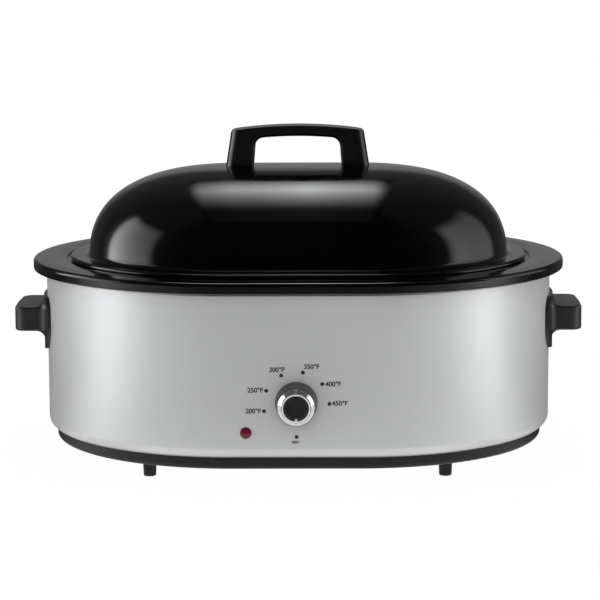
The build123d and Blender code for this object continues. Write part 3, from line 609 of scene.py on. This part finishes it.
# %% Section of the lid
DOME_R = 146.0
DOME_TOP = 287.0
DOME_SPRING = 192.0
DOME_POWER = 2.55
DOME_PROFILE = 2 ** (-2 / DOME_POWER)
FLANGE_Z = 201.0
FOOT_RISE = 6.0
FOOT_BEND = 5.5
BEAD_R = 2.8
BEAD_LINE = 161.4
BEAD_TURN = 300

lid = section_line([(0, DOME_TOP), (DOME_R, DOME_TOP), (DOME_R, DOME_SPRING)], [])
shoulder = next(vert for vert in lid.verts if len(vert.link_edges) == 2)
bmesh.ops.bevel(
    lid,
    geom=[shoulder],
    offset=100.0,
    offset_type="PERCENT",
    segments=64,
    profile=DOME_PROFILE,
    affect="VERTICES",
    material=-1,
)
bmesh.ops.bisect_plane(
    lid,
    geom=lid.verts[:] + lid.edges[:],
    plane_co=(0, 0, FLANGE_Z + FOOT_RISE),
    plane_no=(0, 0, 1),
    clear_inner=True,
)
bmesh.ops.remove_doubles(lid, verts=lid.verts, dist=WELD)
end = min(lid.verts, key=lambda vert: vert.co.z)
foot = lid.verts.new((STRAIGHT, -DOME_R, FLANGE_Z))
edge = lid.verts.new((STRAIGHT, -BEAD_LINE, FLANGE_Z))
lid.edges.new((end, foot))
lid.edges.new((foot, edge))
round_corner(lid, foot, FOOT_BEND, SHEET_SEGMENTS)
bmesh.ops.spin(
    lid,
    geom=[edge],
    cent=(STRAIGHT, -BEAD_LINE, FLANGE_Z - BEAD_R),
    axis=(1, 0, 0),
    dvec=(0, 0, 0),
    angle=math.radians(BEAD_TURN),
    steps=20,
    use_merge=False,
    use_duplicate=False,
)
print("points in the section:", len(lid.verts))

# %% Form the lid
ENAMEL_SHEET = 1.2

sweep_oval(lid)
thicken(lid, ENAMEL_SHEET)
piece("lid_dome_enamelled", lid, "lid", "black_enamel", ["lid_dome"])

# %% [markdown]
# ## Cookwell
# The pan is drawn from the same kind of sheet. Its wide rim is what shows when the lid is on: a
# recess that the lid's bead sits in, a gently crowned top, a round edge and a short lip turned
# back underneath. The crown is one very large bend, which keeps a thin line of light running the
# length of the rim.

# %% Section of the cookwell
PAN_FLOOR_Z = 36.2
PAN_FLOOR_R, PAN_MOUTH_R = 147.5, 150.0
RECESS_Z, RECESS_R = 195.1, 168.0
CROWN_START = (168.8, 197.6)
CROWN_TOP = (185.0, 198.6)
RIM_R, RIM_EDGE_Z = 201.0, 198.2
LIP_Z, LIP_R = 187.8, 197.0
PAN_BENDS = [22.0, 3.0, 1.3, 1.3, 60.0, 3.4, 1.5]

cookwell_section = [
    (0, PAN_FLOOR_Z),
    (PAN_FLOOR_R, PAN_FLOOR_Z),
    (PAN_MOUTH_R, RECESS_Z),
    (RECESS_R, RECESS_Z),
    CROWN_START,
    CROWN_TOP,
    (RIM_R, RIM_EDGE_Z),
    (RIM_R, LIP_Z),
    (LIP_R, LIP_Z),
]
cookwell = section_line(cookwell_section, PAN_BENDS)
print("points in the section:", len(cookwell.verts))

# %% Form the cookwell
sweep_oval(cookwell)
thicken(cookwell, ENAMEL_SHEET)
piece("cookwell_enamelled", cookwell, "cookwell", "black_enamel", ["cookwell"])

# %% [markdown]
# ## Knob
# What shows of the knob is mostly two turned parts on one axis: a black skirt that narrows away
# from the panel, and a chromed bezel with a sloping shoulder, a thin rim and a dished recess for
# the black face. Each is half a section spun a full turn. Real turned edges are never quite sharp,
# so every corner of the section is rounded first, and that catches the thin lines of light. The
# skirt keeps the slot of the handles' moulding but is given a duller finish of its own.


# %% Turn a section round the knob's axis
knob_low, knob_high = (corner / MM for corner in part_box("knob_bezel"))
KNOB_Z = (knob_low.z + knob_high.z) / 2
FINE_WELD = 0.0005
KNOB_STEPS = 96
KNOB_SEGMENTS = 4


def turned(outline, bends):
    """A ring turned from points (radius, distance out of the panel), each with its own bend."""
    bm = bmesh.new()
    corners = [bm.verts.new((radius, PANEL_Y - out, KNOB_Z)) for radius, out in outline]
    for start, end in zip(corners, corners[1:] + corners[:1]):
        bm.edges.new((start, end))
    for corner, radius in zip(corners, bends):
        round_corner(bm, corner, radius, KNOB_SEGMENTS)
    bmesh.ops.spin(
        bm,
        geom=bm.verts[:] + bm.edges[:],
        cent=(0, 0, KNOB_Z),
        axis=(0, 1, 0),
        dvec=(0, 0, 0),
        angle=2 * math.pi,
        steps=KNOB_STEPS,
        use_merge=True,
        use_duplicate=False,
    )
    bmesh.ops.remove_doubles(bm, verts=bm.verts, dist=FINE_WELD)
    bmesh.ops.recalc_face_normals(bm, faces=bm.faces)
    return bm


# %% Turn the skirt
SKIRT_FOOT, SKIRT_TOP = 1.5, 24.0
SKIRT_TOP_R, SKIRT_TOP_INNER_R = 17.6, 16.0

skirt_outline = [
    (19.9, SKIRT_FOOT),
    (SKIRT_TOP_R, SKIRT_TOP),
    (SKIRT_TOP_INNER_R, SKIRT_TOP),
    (18.3, SKIRT_FOOT),
]
skirt = turned(skirt_outline, [0.5, 0.3, 0.2, 0.4])
knob_skirt = piece("knob_skirt_moulded", skirt, "knob", "black_gloss_moulding", ["knob_skirt"])
knob_skirt.data.materials[0] = finishes["knob_skirt_moulding"]

# %% Turn the bezel: shoulder, groove, rim, recess, and the wall behind them
RIM_OUTER_R, RIM_INNER_R, RIM_TOP = 13.1, 12.0, 29.6
FACE_R = 9.8

bezel_outline = [
    (SKIRT_TOP_R, SKIRT_TOP),
    (14.0, 28.3),
    (13.4, 27.7),
    (RIM_OUTER_R, 28.0),
    (RIM_OUTER_R, RIM_TOP),
    (RIM_INNER_R, RIM_TOP),
    (FACE_R, 24.4),
    (FACE_R, 22.8),
    (11.9, 25.4),
    (SKIRT_TOP_INNER_R, SKIRT_TOP),
]
bezel_bends = [0.45, 0.3, 0.1, 0.1, 0.2, 0.2, 0.1, 0.1, 0.3, 0.2]
bezel = turned(bezel_outline, bezel_bends)
piece("knob_bezel_chromed", bezel, "knob", "knob_chrome", ["knob_bezel"])

# %% [markdown]
# ## Pale rim of the knob
# The rim round the knob's face is a ring of its own with a pale satin finish, a painted highlight:
# its near-white tone stands in for the bright reflections a chromed rim shows all round, and it
# stays bright where the chrome beside it goes dark. A second colour could be painted on the bezel's
# faces, but a ring of its own keeps its own finish and its own crisp edge.

# %% Turn the rim
# near-white, half-diffuse tone painted on the rim: a painted highlight standing in for the chrome rim's
# reflections
finish(
    "knob_rim_painted_highlight",
    tones=((0.86, 0.86, 0.86), (0.93, 0.93, 0.93)),
    gloss=(0.29, 0.36),
    drift=60.0,
    lines=(900.0, 900.0, 0.08, 0.0001),
    Metallic=0.3,
)
PAINTED_RING_BACK, PAINTED_RING_FRONT = 29.2, 30.4
PAINTED_RING_OUTER_R = 13.2

rim_outline = [(PAINTED_RING_OUTER_R, PAINTED_RING_BACK), (PAINTED_RING_OUTER_R, PAINTED_RING_FRONT), (12.2, PAINTED_RING_FRONT), (11.9, PAINTED_RING_BACK)]
# the ring that carries the painted highlight of the knob's rim
knob_rim = piece("knob_rim_painted_highlight", turned(rim_outline, [0.1, 0.4, 0.35, 0.1]), "knob", "knob_chrome")
knob_rim.data.materials[0] = finishes["knob_rim_painted_highlight"]

# %% [markdown]
# ## Dial
# The temperatures are printed on the wrap round the knob, each with a dot. Printed ink has almost
# no thickness, but a mesh needs some, so it stands a twentieth of a millimetre proud. The dots are
# extruded discs. The figures start as text, are made a mesh, and only then are turned upright and
# moved to their place, because a finished piece keeps its place in its mesh.

# %% Dots of the dial
DIAL_X = 0.0
DIAL_Z = 82.7
DOT_CIRCLE_R = 30.8
DOT_R = 1.85
INK = 0.05
DIAL = {"MIN": 0.0, "200": 78.3, "250": 115.0, "300": 152.9, "350": 191.5, "400": 231.2, "450": 268.9}

dots = bmesh.new()
for turn in DIAL.values():
    angle = math.radians(turn)
    x, z = DIAL_X - DOT_CIRCLE_R * math.sin(angle), DIAL_Z - DOT_CIRCLE_R * math.cos(angle)
    stand = Matrix.Translation((x, PANEL_Y + INK, z)) @ Matrix.Rotation(math.pi / 2, 4, "X")
    disc = bmesh.ops.create_circle(dots, cap_ends=True, segments=32, radius=DOT_R, matrix=stand)
    faces = list({face for vert in disc["verts"] for face in vert.link_faces})
    raised = bmesh.ops.extrude_face_region(dots, geom=faces)["geom"]
    raised = [part for part in raised if isinstance(part, bmesh.types.BMVert)]
    bmesh.ops.translate(dots, vec=(0, -2 * INK, 0), verts=raised)
bmesh.ops.recalc_face_normals(dots, faces=dots.faces)
piece("dial_dots", dots, "root", "dial_ink")

# %% Figures of the dial
FIGURE = 6.1
SMALL_FIGURE = 3.6
BOLDNESS = 0.034
LABELS = [
    ("200°F", -40.2, 76.4, FIGURE),
    ("250°F", -38.2, 96.1, FIGURE),
    ("300°F", -18.1, 115.4, FIGURE),
    ("350°F", 14.2, 118.2, FIGURE),
    ("400°F", 34.3, 101.8, FIGURE),
    ("450°F", 40.5, 83.5, FIGURE),
    ("MIN", -1.0, 46.9, SMALL_FIGURE),
]
figures = bmesh.new()
for words, x, z, size in LABELS:
    text = bpy.data.curves.new("figure", "FONT")
    text.body = words
    text.align_x, text.align_y = "CENTER", "CENTER"
    text.size = size
    text.offset = size * BOLDNESS
    text.extrude = INK
    holder = bpy.data.objects.new("figure", text)
    bpy.context.scene.collection.objects.link(holder)
    flat = bpy.data.meshes.new_from_object(holder.evaluated_get(bpy.context.evaluated_depsgraph_get()))
    flat.transform(Matrix.Translation((x, PANEL_Y, z)) @ Matrix.Rotation(math.pi / 2, 4, "X"))
    figures.from_mesh(flat)
    bpy.data.objects.remove(holder)
bmesh.ops.remove_doubles(figures, verts=figures.verts, dist=FINE_WELD)
bmesh.ops.recalc_face_normals(figures, faces=figures.faces)
piece("dial_figures", figures, "root", "dial_ink")

# %% [markdown]
# ## Camera
# The camera stands a little above the rim and far back, with a long lens, so that the verticals
# stay upright and the rim shows as a thin oval.

# %% Camera
PITCH = 0.15575
TURN = 0.011
ROLL = 0.00405
LENS = 145.65
SENSOR = 36.0
eye = Vector((0.0281, -2.3998, 0.5283))
ahead = Vector((-math.sin(TURN) * math.cos(PITCH), math.cos(TURN) * math.cos(PITCH), -math.sin(PITCH)))
right = ahead.cross(Vector((0, 0, 1))).normalized()
up = right.cross(ahead)
level = Matrix((right, up, -ahead)).transposed()
camera = bpy.data.objects.new("camera", bpy.data.cameras.new("camera"))
camera.data.lens = LENS
camera.data.sensor_width = SENSOR
camera.matrix_world = Matrix.Translation(eye) @ (Matrix.Rotation(ROLL, 3, ahead) @ level).to_4x4()
bpy.context.scene.collection.objects.link(camera)
bpy.context.scene.camera = camera
print("camera looks along", [round(part, 3) for part in ahead])

# %% [markdown]
# ## Studio
# The light has two jobs here, and each has its own things. Four area lamps and a grey world light
# the surfaces at a plain level and aren't seen in reflections. What reflections see is a room of
# its own, made further down. One set of lamps for both would be simpler, but then each change to
# a reflection would change the colours too. The world is white to the camera.

# %% White where the camera or a reflection looks, plain light elsewhere
def bright_rays(tree):
    """One for a ray from the camera, a reflection or clear plastic, and nought for any other."""
    rays = put(tree, "ShaderNodeLightPath")
    seen = rays.outputs["Is Camera Ray"]
    for more in ("Is Glossy Ray", "Is Transmission Ray"):
        either = put(tree, "ShaderNodeMath", operation="MAXIMUM")
        tree.links.new(seen, either.inputs[0])
        tree.links.new(rays.outputs[more], either.inputs[1])
        seen = either.outputs[0]
    return seen


def choose_shader(tree, factor, plain, bright, output):
    """Mixes two shaders by a factor and sends the result to the output node."""
    choose = put(tree, "ShaderNodeMixShader")
    for socket, source in zip(choose.inputs, (factor, plain.outputs[0], bright.outputs[0])):
        tree.links.new(source, socket)
    tree.links.new(choose.outputs[0], output.inputs["Surface"])


# %% World
WORLD_GREY = (0.55, 0.56, 0.57, 1.0)
WHITE = (1.0, 1.0, 1.0, 1.0)

world = bpy.data.worlds.new("studio")
bpy.context.scene.world = world
world.use_nodes = True
tree = world.node_tree
tree.nodes.clear()
grey = put(tree, "ShaderNodeBackground", values={"Color": WORLD_GREY, "Strength": 1.0})
white = put(tree, "ShaderNodeBackground", values={"Color": WHITE, "Strength": 1.0})
choose_shader(tree, bright_rays(tree), grey, white, put(tree, "ShaderNodeOutputWorld"))
print("world:", world.name)


# %% Lamps
def softbox(name, place, aim, width, height, radiance):
    """A rectangular area lamp that points at a place and that no reflection sees."""
    lamp = bpy.data.lights.new(name, "AREA")
    lamp.shape = "RECTANGLE"
    lamp.size, lamp.size_y = width, height
    lamp.energy = radiance * math.pi * width * height
    holder = bpy.data.objects.new(name, lamp)
    holder.location = place
    holder.rotation_euler = (Vector(aim) - Vector(place)).to_track_quat("-Z", "Y").to_euler()
    holder.visible_camera = False
    holder.visible_glossy = False
    bpy.context.scene.collection.objects.link(holder)
    print(f"{name}: {lamp.energy:.1f} W")


softbox("softbox_left", (-1.7, 0.15, 1.0), (0, 0.15, 1.0), width=1.9, height=2.0, radiance=1.1)
softbox("softbox_right", (1.7, 0.15, 1.0), (0, 0.15, 1.0), width=1.9, height=2.0, radiance=1.05)
softbox("front_fill", (0, -2.7, 1.1), (0, 0, 0.15), width=2.4, height=1.4, radiance=1.95)
softbox("overhead_fill", (0, 0, 2.4), (0, 0, 0), width=2.0, height=1.6, radiance=1.0)

# %% [markdown]
# ## What the reflections see
# Black gloss shows the room more than itself. Round the oven stands a black drape with a lit card
# on each side and a low one behind, lit paper lies on the floor, and a panel hangs overhead.
# Plain lamps would give hard bright shapes, so each of these glows by a curve: its strength is
# set at a few places and runs straight from one to the next. Only glossy rays see them, so they
# cast no shadow and light no matt surface.


# %% Read strengths off a curve
def graph(tree, value, points):
    """Strength on a line through (place, strength) points, where value is the place."""
    low, high = points[0][0], points[-1][0]
    peak = max(strength for place, strength in points)
    ramp = put(tree, "ShaderNodeValToRGB")
    stops = ramp.color_ramp.elements
    while len(stops) < len(points):
        stops.new(0.5)
    for number, (place, strength) in enumerate(points):
        stops[number].position = (place - low) / (high - low)
        stops[number].color = (strength / peak, strength / peak, strength / peak, 1.0)
    tree.links.new(spread(tree, value, 0.0, 1.0, low, high), ramp.inputs[0])
    return times(tree, ramp.outputs["Color"], float(peak))


# %% Where the lit point lies
def place_on(tree):
    """The object coordinates X, Y and Z of the point that is lit."""
    split = put(tree, "ShaderNodeSeparateXYZ")
    tree.links.new(put(tree, "ShaderNodeTexCoord").outputs["Object"], split.inputs[0])
    return split.outputs


def without_sign(tree, value):
    """A socket's value with its sign dropped."""
    node = put(tree, "ShaderNodeMath", operation="ABSOLUTE")
    tree.links.new(value, node.inputs[0])
    return node.outputs[0]


def bearing(tree, place):
    """Degrees round from the front on either side, up to 180 at the back."""
    angle = put(tree, "ShaderNodeMath", operation="ARCTAN2")
    tree.links.new(without_sign(tree, place["X"]), angle.inputs[0])
    tree.links.new(times(tree, place["Y"], -1.0), angle.inputs[1])
    return times(tree, angle.outputs[0], 180 / math.pi)


# %% Make a thing that only reflections see
GLOW = (0.98, 0.993, 1.0, 1.0)
HIDDEN_FROM = ("camera", "diffuse", "transmission", "volume_scatter", "shadow")


def reflected(name, bm, strength):
    """A thing that glossy rays see, glowing with a strength worked out in its own nodes."""
    material = bpy.data.materials.new(name)
    material.use_nodes = True
    tree = material.node_tree
    tree.nodes.clear()
    glow = put(tree, "ShaderNodeEmission", values={"Color": GLOW})
    tree.links.new(strength(tree), glow.inputs["Strength"])
    tree.links.new(glow.outputs[0], put(tree, "ShaderNodeOutputMaterial").inputs["Surface"])
    mesh = bpy.data.meshes.new(name)
    bm.to_mesh(mesh)
    bm.free()
    mesh.materials.append(material)
    thing = bpy.data.objects.new(name, mesh)
    bpy.context.scene.collection.objects.link(thing)
    for ray in HIDDEN_FROM:
        setattr(thing, "visible_" + ray, False)
    print(f"{name}: {len(mesh.polygons)} faces")


# %% Curves of the drape: cards by degrees from the front, heights in metres
DRAPE_R = 3.2
DRAPE_HEIGHT = 4.0
LEFT_CARD = [(0, 0), (64, 0), (70, 1.5), (90, 3.0), (106, 4.9), (110, 4.3), (115, 0.2), (122, 0), (180, 0)]
LEFT_HEIGHT = [(0, 1), (0.5, 0.9), (1.3, 0.68), (1.9, 0.58), (2.2, 0.5), (2.45, 0.3), (2.8, 0), (4, 0)]
RIGHT_CARD = [(0, 0), (70, 0), (77, 1.6), (84, 1.75), (95, 1.3), (107, 0.95), (118, 0.72), (125, 0), (180, 0)]
RIGHT_HEIGHT = [(0, 1), (1.2, 0.82), (2.1, 0.72), (2.4, 0.55), (2.9, 0.1), (3.1, 0), (4, 0)]
CLOTH = [(0, 0.01), (40, 0.01), (60, 0.06), (180, 0.08)]
BACK_CARD = [(0, 0), (150, 0), (166, 0.2), (180, 0.2)]
BACK_HEIGHT = [(0, 1), (1.0, 1), (1.35, 0), (4, 0)]
SIDE_CARDS = [(LEFT_CARD, LEFT_HEIGHT, "LESS_THAN"), (RIGHT_CARD, RIGHT_HEIGHT, "GREATER_THAN")]
print("tall cards on the drape:", len(SIDE_CARDS))


# %% Black drape with its lit cards
def drape_strength(tree):
    """The cloth's own faint grey, the low card behind, and a tall card on each side."""
    place = place_on(tree)
    degrees = bearing(tree, place)
    low_back = times(tree, graph(tree, degrees, BACK_CARD), graph(tree, place["Z"], BACK_HEIGHT))
    cards = [graph(tree, degrees, CLOTH), low_back]
    for card, heights, side in SIDE_CARDS:
        half = put(tree, "ShaderNodeMath", operation=side, values={1: 0.0})
        tree.links.new(place["X"], half.inputs[0])
        lit = times(tree, graph(tree, degrees, card), graph(tree, place["Z"], heights))
        cards.append(times(tree, lit, half.outputs[0]))
    return total(tree, *cards)


drape = bmesh.new()
bmesh.ops.create_cone(
    drape,
    cap_ends=True,
    segments=64,
    radius1=DRAPE_R,
    radius2=DRAPE_R,
    depth=DRAPE_HEIGHT,
)
bmesh.ops.translate(drape, vec=(0, 0, DRAPE_HEIGHT / 2), verts=drape.verts)
bmesh.ops.delete(drape, geom=[face for face in drape.faces if face.normal.z < -0.5], context="FACES")
reflected("drape", drape, drape_strength)

# %% Lit paper on the floor, brightest beside the oven, with a rim of light close to its front
PAPER_Z = 0.002
PAPER = [
    (0, 0.15),
    (20, 0.18),
    (36, 0.4),
    (49, 0.6),
    (60, 1.2),
    (72, 1.8),
    (82, 1.3),
    (92, 0.35),
    (105, 0.08),
    (180, 0.06),
]
CLOSE = [(0, 0.6), (0.27, 0.6), (0.32, 0.35), (0.42, 0.1), (0.5, 0), (3.2, 0)]
NEARNESS = [(0, 0.35), (0.45, 0.42), (0.8, 0.75), (1.3, 1), (3.2, 1)]
FRONT_ONLY = [(0, 1), (42, 1), (60, 0.3), (74, 0), (180, 0)]


def paper_strength(tree):
    """The broad glow by bearing and distance from the oval's line, and the rim of light."""
    place = place_on(tree)
    degrees = bearing(tree, place)
    past_end = put(tree, "ShaderNodeMath", operation="SUBTRACT", use_clamp=True, values={1: STRAIGHT * MM})
    tree.links.new(without_sign(tree, place["X"]), past_end.inputs[0])
    flat = put(tree, "ShaderNodeCombineXYZ")
    tree.links.new(past_end.outputs[0], flat.inputs["X"])
    tree.links.new(place["Y"], flat.inputs["Y"])
    off_line = put(tree, "ShaderNodeVectorMath", operation="LENGTH")
    tree.links.new(flat.outputs[0], off_line.inputs[0])
    close = times(tree, graph(tree, degrees, FRONT_ONLY), graph(tree, off_line.outputs["Value"], CLOSE))
    broad = times(tree, graph(tree, degrees, PAPER), graph(tree, off_line.outputs["Value"], NEARNESS))
    return total(tree, broad, close)


paper_round = bmesh.new()
low_paper = Matrix.Translation((0, 0, PAPER_Z))
bmesh.ops.create_circle(paper_round, cap_ends=True, segments=64, radius=DRAPE_R, matrix=low_paper)
reflected("floor_paper", paper_round, paper_strength)

# %% Overhead panel, a little behind the oven, with strengths by metres back and across
PANEL_DEEP = [
    (-0.7, 0),
    (-0.62, 0.12),
    (-0.2, 0.14),
    (-0.03, 0.3),
    (0.23, 1.75),
    (0.51, 3.6),
    (0.85, 5.7),
    (1.1, 4.3),
    (1.3, 2.6),
    (1.7, 0.5),
    (2, 0),
]
PANEL_WIDE = [
    (-0.5, 0),
    (-0.4, 0.35),
    (-0.25, 0.5),
    (-0.06, 0.72),
    (0, 1.05),
    (0.06, 0.7),
    (0.2, 0.5),
    (0.27, 0.1),
    (0.33, 0),
]
PANEL_HALF = (0.41, 1.35, 1)
PANEL_CENTRE = (-0.085, 0.65, 1.6)


def overhead_strength(tree):
    """Product of a curve from front to back and one from left to right."""
    place = place_on(tree)
    return times(tree, graph(tree, place["Y"], PANEL_DEEP), graph(tree, place["X"], PANEL_WIDE))


overhead = bmesh.new()
bmesh.ops.create_grid(overhead, x_segments=1, y_segments=1, size=1.0)
bmesh.ops.scale(overhead, vec=PANEL_HALF, verts=overhead.verts)
bmesh.ops.translate(overhead, vec=PANEL_CENTRE, verts=overhead.verts)
reflected("overhead_panel", overhead, overhead_strength)

# %% [markdown]
# ## Floor
# The floor is a pale matt sheet that to the camera is nearly all white glow, and wholly so from
# 0.8 m out. The oven's soft shadow stays faint on it, and floor and background run into one another
# with no line between them. A curved backdrop would do the same, but it would have to be turned for
# every view.

# %% Lay the floor
FLOOR_HALF = 8.0

floor = bmesh.new()
bmesh.ops.create_grid(floor, x_segments=1, y_segments=1, size=FLOOR_HALF)
floor_mesh = bpy.data.meshes.new("floor")
floor.to_mesh(floor_mesh)
floor.free()
floor_object = bpy.data.objects.new("floor", floor_mesh)
bpy.context.scene.collection.objects.link(floor_object)
print("floor:", 2 * FLOOR_HALF, "m wide")

# %% Paper of the floor
PAPER_TONE = (0.93, 0.93, 0.93, 1.0)
WHITE_SHARE = (0.985, 1.0)
NEAR, FAR = 0.3, 0.8

paper = bpy.data.materials.new("pale_paper")
paper.use_nodes = True
tree = paper.node_tree
matt = tree.nodes["Principled BSDF"]
matt.inputs["Base Color"].default_value = PAPER_TONE
matt.inputs["Roughness"].default_value = 0.9
matt.inputs["Specular IOR Level"].default_value = 0.1
glow = put(tree, "ShaderNodeEmission", values={"Strength": 1.0})
reach = put(tree, "ShaderNodeVectorMath", operation="LENGTH")
tree.links.new(put(tree, "ShaderNodeTexCoord").outputs["Object"], reach.inputs[0])
share = spread(tree, reach.outputs["Value"], *WHITE_SHARE, NEAR, FAR)
glowing = times(tree, bright_rays(tree), share)
choose_shader(tree, glowing, matt, glow, tree.nodes["Material Output"])
floor_mesh.materials.append(paper)
print("floor paper:", paper.name)

# %% [markdown]
# ## View transform
# The standard view transform shows colours as they are lit.

# %% Finish
bpy.context.scene.view_settings.view_transform = "Standard"
